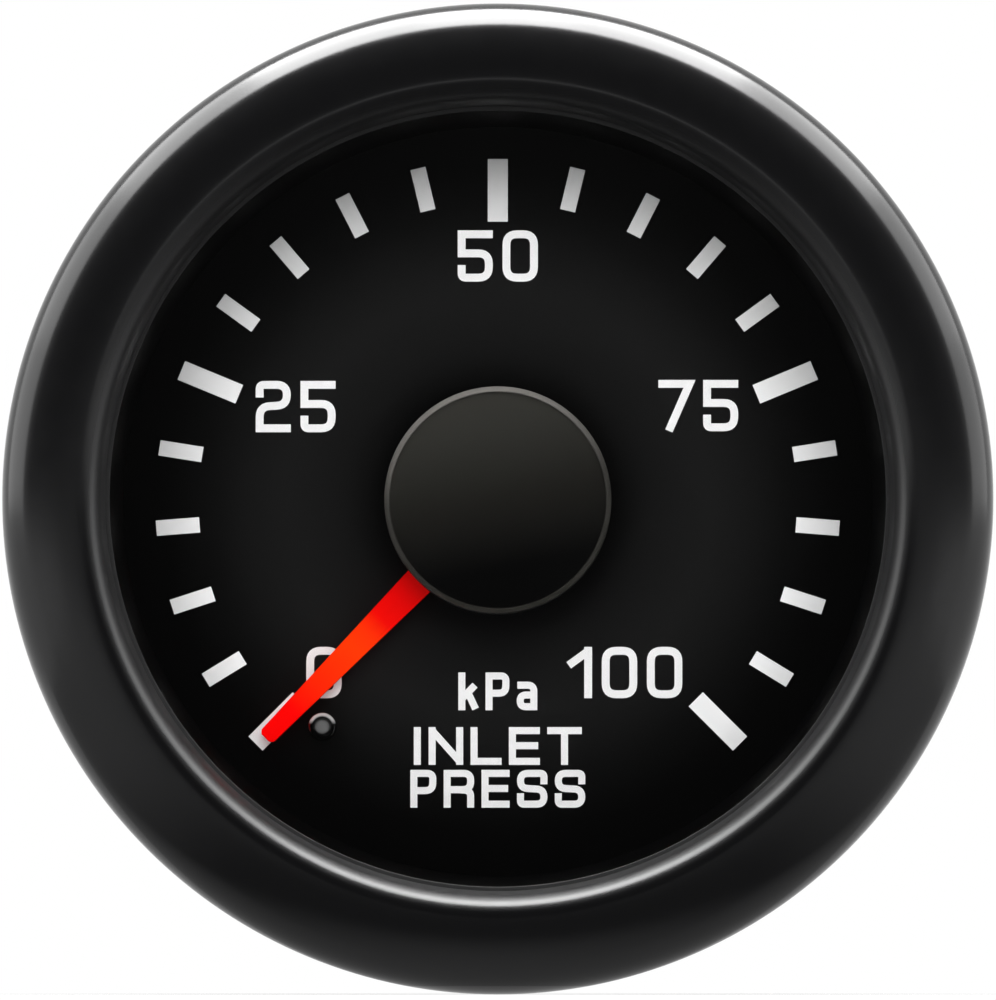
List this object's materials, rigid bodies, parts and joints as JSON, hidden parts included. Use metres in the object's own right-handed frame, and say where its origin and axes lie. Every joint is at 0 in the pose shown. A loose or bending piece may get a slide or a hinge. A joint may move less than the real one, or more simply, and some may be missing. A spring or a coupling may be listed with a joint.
{
  "type": "boost gauge",
  "caption": "Round dial gauge for manifold pressure: red pointer over a black dial, gloss black bezel, curved-tube movement, rear inlet fitting and clamp bracket.",
  "frame": {"origin": "on the dial's axis, in the plane of the bezel's back face, which rests on the panel", "axes": "+Y from the dial to the back, through the panel; +Z to the top of the dial; +X to the viewer's right"},
  "size_m": [0.059, 0.0652, 0.059],
  "materials": {
    "black_anodised": "smooth gloss black",
    "rubber": "moulded matt rubber",
    "glass": "clear flat glass",
    "black_moulding": "fine matt moulding",
    "dial_face": "matt black print on a clear dial",
    "dial_print": "white print",
    "light_guide": "milky acrylic",
    "black_steel": "black stoved paint on drawn steel",
    "pointer_red": "translucent red acrylic",
    "cap_black": "gloss black moulding",
    "brass": "turned and stamped brass",
    "spring_bronze": "drawn phosphor bronze",
    "steel": "turned bright steel",
    "zinc_steel": "bright zinc plate",
    "fibre": "pressed red fibre",
    "bulb_glass": "clear bulb glass"
  },
  "bodies": {
    "gauge_body": {"bezel": "black_anodised", "bezel_seal": "rubber", "lens": "glass", "lens_gasket": "rubber", "visor_ring": "black_moulding", "dial": "dial_face", "dial_marks": "dial_print", "stop_pin": "cap_black", "light_ring": "light_guide", "gauge_case": "black_steel", "hairspring": "spring_bronze", "hairspring_stud": "brass", "upper_plate": "brass", "lower_plate": "brass", "plate_pillars": "brass", "plate_screws": "steel", "block_screws": "steel", "bourdon_tube": "spring_bronze", "socket_block": "brass", "inlet_fitting": "brass", "fitting_washer": "fibre", "mounting_studs": "zinc_steel", "stud_nuts": "zinc_steel"},
    "pointer_body": {"pointer": "pointer_red", "hub_cap": "cap_black", "pinion_arbor": "steel", "hairspring_collet": "brass"},
    "sector_body": {"sector_gear": "brass", "sector_arbor": "steel", "sector_pin": "steel"},
    "link_body": {"tip_link": "steel"},
    "tip_body": {"tube_tip": "brass", "tip_pin": "steel"},
    "bracket_body": {"clamp_bracket": "zinc_steel", "lock_washers": "zinc_steel"},
    "left_nut": {"thumb_nut_left": "zinc_steel"},
    "right_nut": {"thumb_nut_right": "zinc_steel"},
    "lamp_body": {"lamp_holder": "black_moulding", "lamp_bulb": "bulb_glass", "lamp_terminals": "zinc_steel"}
  },
  "joints": [
    {"name": "pointer_turn", "type": "hinge", "parent": "gauge_body", "child": "pointer_body", "pos_m": [0, 0, 0], "axis": [0, 1, 0], "range_deg": [-1.4, 275], "stiffness_Nm_per_rad": 0.002, "deforming": ["hairspring"]},
    {"name": "sector_turn", "type": "hinge", "parent": "gauge_body", "child": "sector_body", "pos_m": [0, 0.0125, -0.012], "axis": [0, 1, 0], "range_deg": [-31, 1]},
    {"name": "link_turn", "type": "hinge", "parent": "sector_body", "child": "link_body", "pos_m": [0.0013, 0.0117, -0.01786], "axis": [0, 1, 0], "range_deg": [-1, 31]},
    {"name": "tip_turn", "type": "hinge", "parent": "gauge_body", "child": "tip_body", "pos_m": [0.00077, 0, 0.00585], "axis": [0, 1, 0], "range_deg": [-9, 1], "deforming": ["bourdon_tube"]},
    {"name": "bracket_slide", "type": "slide", "parent": "gauge_body", "child": "bracket_body", "axis": [0, 1, 0], "range_m": [-0.0024, 0.0056]},
    {"name": "left_nut_turn", "type": "hinge", "parent": "bracket_body", "child": "left_nut", "pos_m": [-0.015, 0, 0], "axis": [0, 1, 0], "range_deg": [-1095, 2545]},
    {"name": "right_nut_turn", "type": "hinge", "parent": "bracket_body", "child": "right_nut", "pos_m": [0.015, 0, 0], "axis": [0, 1, 0], "range_deg": [-1095, 2545]},
    {"name": "lamp_pull", "type": "slide", "parent": "gauge_body", "child": "lamp_body", "axis": [0, 1, 0], "range_m": [0, 0.03]}
  ],
  "couplings": [
    {"joint": "sector_turn", "follows": "pointer_turn", "ratio": -0.11111},
    {"joint": "link_turn", "follows": "pointer_turn", "ratio": 0.11111},
    {"joint": "tip_turn", "follows": "pointer_turn", "ratio": -0.030644},
    {"joint": "left_nut_turn", "follows": "bracket_slide", "rad_per_m": 7915.8},
    {"joint": "right_nut_turn", "follows": "bracket_slide", "rad_per_m": 7915.8}
  ]
}
